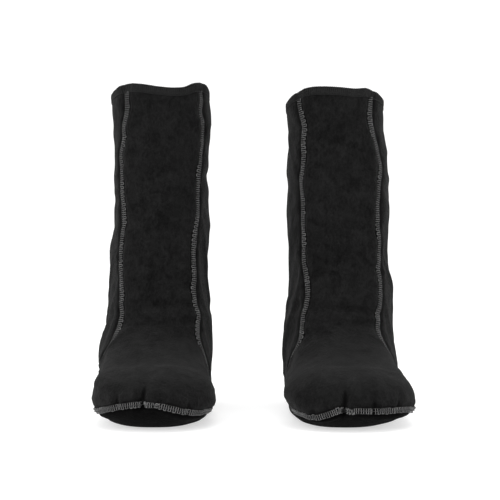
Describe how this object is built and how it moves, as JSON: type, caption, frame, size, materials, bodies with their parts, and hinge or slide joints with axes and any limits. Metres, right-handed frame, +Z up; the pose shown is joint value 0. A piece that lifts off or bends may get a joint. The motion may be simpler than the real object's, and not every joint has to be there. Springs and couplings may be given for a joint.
{
  "type": "pair of thermal water-sports boots",
  "caption": "Soft, fleecy cloth boots for water sports, left and right: calf-high shaft, flat stitched seams, an overlocked rim and a sole that turns up at the toe.",
  "frame": {"origin": "on the floor under the soles, at the middle of the pair's bounding box in X and Y", "axes": "+Z up, from the soles to the rims; the toes point towards -Y; the wearer's right boot stands at -X and the left boot at +X"},
  "size_m": [0.2886, 0.2686, 0.3162],
  "materials": {
    "outer_cloth": "soft brushed nap, matt",
    "lining_cloth": "short brushed fleece, matt",
    "sole_cloth": "dense, short nap, matt",
    "seam_thread": "twisted thread, slightly bright",
    "rim_thread": "twisted thread, matt"
  },
  "bodies": {
    "root": {"right_front_panel": "outer_cloth", "right_front_lining": "lining_cloth", "right_inner_side_panel": "outer_cloth", "right_inner_side_lining": "lining_cloth", "right_outer_side_panel": "outer_cloth", "right_outer_side_lining": "lining_cloth", "right_sole_panel": "sole_cloth", "right_insole": "lining_cloth", "right_inner_side_seam": "seam_thread", "right_outer_side_seam": "seam_thread", "right_back_seam": "seam_thread", "right_sole_seam": "seam_thread", "right_rim_overlock": "rim_thread", "left_front_panel": "outer_cloth", "left_front_lining": "lining_cloth", "left_inner_side_panel": "outer_cloth", "left_inner_side_lining": "lining_cloth", "left_outer_side_panel": "outer_cloth", "left_outer_side_lining": "lining_cloth", "left_sole_panel": "sole_cloth", "left_insole": "lining_cloth", "left_inner_side_seam": "seam_thread", "left_outer_side_seam": "seam_thread", "left_back_seam": "seam_thread", "left_sole_seam": "seam_thread", "left_rim_overlock": "rim_thread"}
  },
  "joints": []
}
